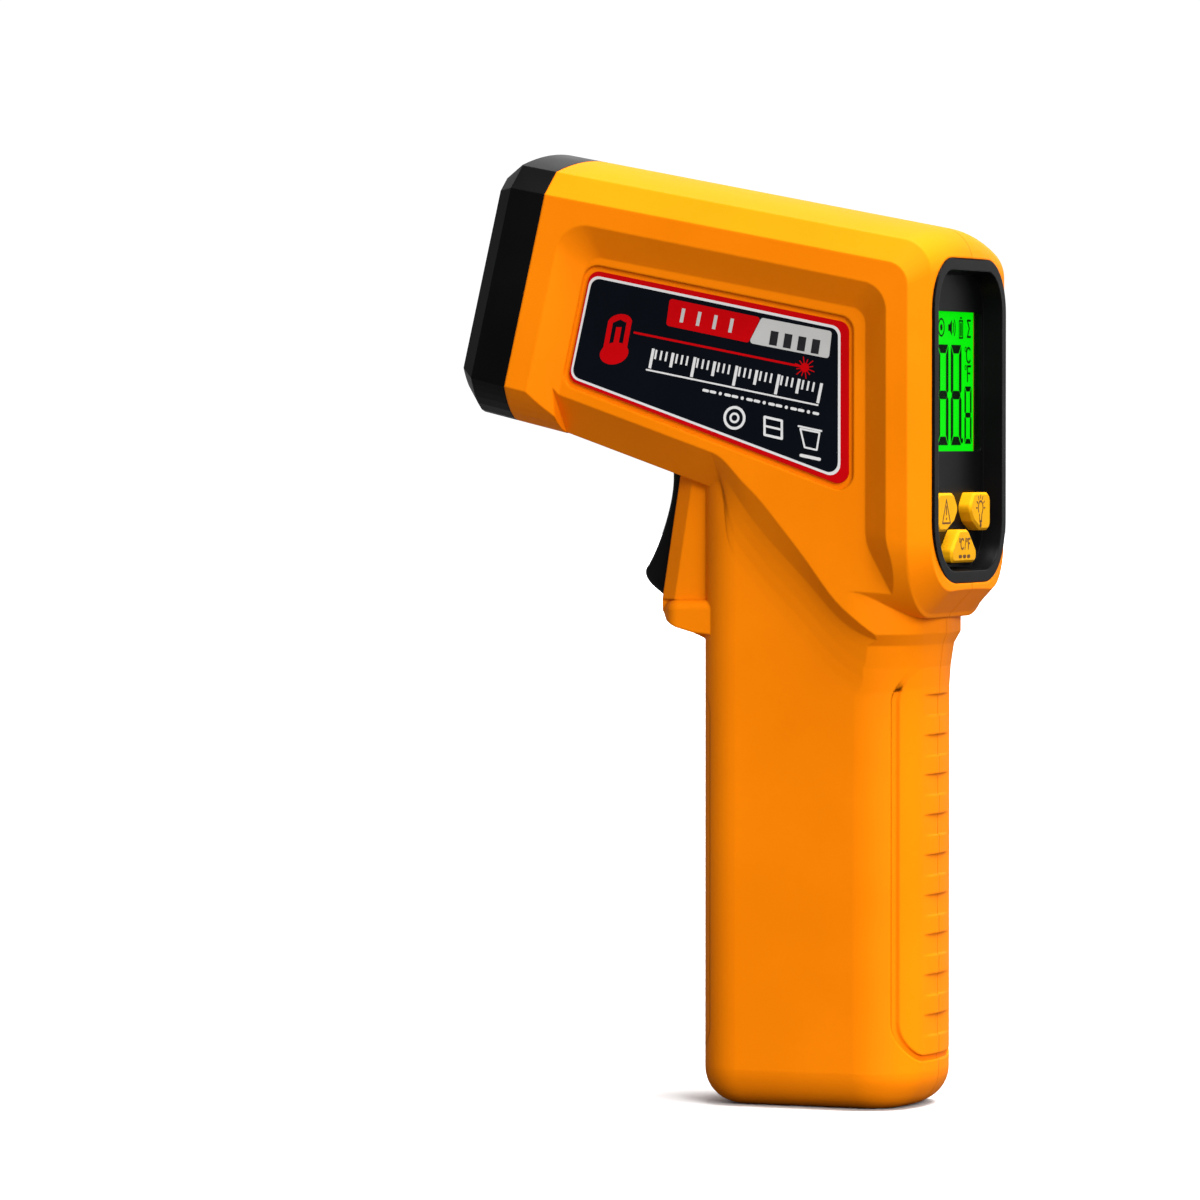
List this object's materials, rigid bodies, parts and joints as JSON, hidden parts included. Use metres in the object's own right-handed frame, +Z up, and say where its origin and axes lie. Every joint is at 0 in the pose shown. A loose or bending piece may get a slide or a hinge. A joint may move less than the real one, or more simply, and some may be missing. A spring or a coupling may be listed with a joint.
{
  "type": "infrared thermometer",
  "caption": "Pistol-shaped infrared thermometer with black nose cap, finger trigger, lit rear display, three keys and a battery door in the grip.",
  "frame": {"origin": "centre of the flat base of the grip", "axes": "+Z up along the grip, the instrument aims along -X tilted up by 13 degrees, the display faces +X, the left side is -Y"},
  "size_m": [0.078, 0.038, 0.1457],
  "materials": {
    "case_orange": "moulded ABS, satin",
    "black_gloss": "moulded ABS, glossy black",
    "black_matte": "moulded ABS, black",
    "label_film": "printed polyester film",
    "key_yellow": "silicone rubber keys",
    "silicone_grey": "silicone rubber",
    "clear": "clear acrylic",
    "lcd_green": "lit liquid crystal panel",
    "diffuser": "white light guide",
    "zebra": "conductive elastomer strip",
    "pcb": "green solder mask",
    "chip": "moulded epoxy",
    "steel": "nickel-plated steel",
    "brass": "turned brass",
    "spring_steel": "nickel-plated spring wire",
    "lens_ir": "milky infrared-transmitting Fresnel lens",
    "cell_wrap": "shrink sleeve",
    "wire_red": "insulated lead",
    "connector": "nylon header",
    "case_inside": "black moulded holder"
  },
  "bodies": {
    "case": {"shell_left": "case_orange", "shell_right": "case_orange", "nose_cap": "black_gloss", "display_bezel": "black_gloss", "display_window": "clear", "lcd_panel": "lcd_green", "backlight": "diffuser", "zebra_strips": "zebra", "return_pad": "silicone_grey", "key_switches": "chip", "main_board": "pcb", "board_screws": "steel", "mcu_chip": "chip", "board_parts": "chip", "buzzer": "chip", "board_connectors": "connector", "trigger_pin": "steel", "trigger_board": "pcb", "trigger_switch": "chip", "trigger_spring": "spring_steel", "cell_1": "cell_wrap", "cell_2": "cell_wrap", "battery_tray": "case_inside", "contact_plates": "steel", "contact_springs": "spring_steel", "label_left": "label_film", "label_right": "label_film", "case_screws": "steel", "battery_leads": "wire_red", "sensor_leads": "wire_red", "laser_leads": "wire_red", "trigger_leads": "wire_red", "ir_lens": "lens_ir", "lens_retainer": "case_inside", "optics_tube": "case_inside", "sensor_can": "steel", "sensor_window": "clear", "sensor_board": "pcb", "laser_window": "clear", "laser_lens": "clear", "laser_body": "brass", "laser_diode": "steel", "laser_board": "pcb", "laser_holder": "case_inside"},
    "button_laser": {"button_laser": "key_yellow", "plunger_laser": "connector"},
    "button_light": {"button_light": "key_yellow", "plunger_light": "connector"},
    "button_mode": {"button_mode": "key_yellow", "plunger_mode": "connector"},
    "trigger": {"trigger": "black_gloss"},
    "trigger_plunger": {"trigger_plunger": "connector"},
    "battery_door": {"battery_door": "case_orange"}
  },
  "joints": [
    {"name": "trigger_pull", "type": "hinge", "parent": "case", "child": "trigger", "pos_m": [-0.0155, 0, 0.0975], "axis": [0, -1, 0], "range_deg": [0, 9], "stiffness_Nm_per_rad": 0.12, "springref_deg": -22.92, "deforming": ["trigger_spring"]},
    {"name": "switch_press", "type": "slide", "parent": "case", "child": "trigger_plunger", "axis": [1, 0, 0], "range_m": [0, 0.002]},
    {"name": "door_swing", "type": "hinge", "parent": "case", "child": "battery_door", "pos_m": [-0.0173, 0, 0.0087], "axis": [0, -1, 0], "range_deg": [0, 95]},
    {"name": "laser_key_press", "type": "slide", "parent": "case", "child": "button_laser", "axis": [-1, 0, 0], "range_m": [0, 0.0006], "stiffness_N_per_m": 900, "springref_m": -0.0006},
    {"name": "light_key_press", "type": "slide", "parent": "case", "child": "button_light", "axis": [-1, 0, 0], "range_m": [0, 0.0006], "stiffness_N_per_m": 900, "springref_m": -0.0006},
    {"name": "mode_key_press", "type": "slide", "parent": "case", "child": "button_mode", "axis": [-1, 0, 0], "range_m": [0, 0.0006], "stiffness_N_per_m": 900, "springref_m": -0.0006}
  ],
  "couplings": [
    {"joint": "switch_press", "follows": "trigger_pull", "m_per_rad": 0.0119}
  ]
}
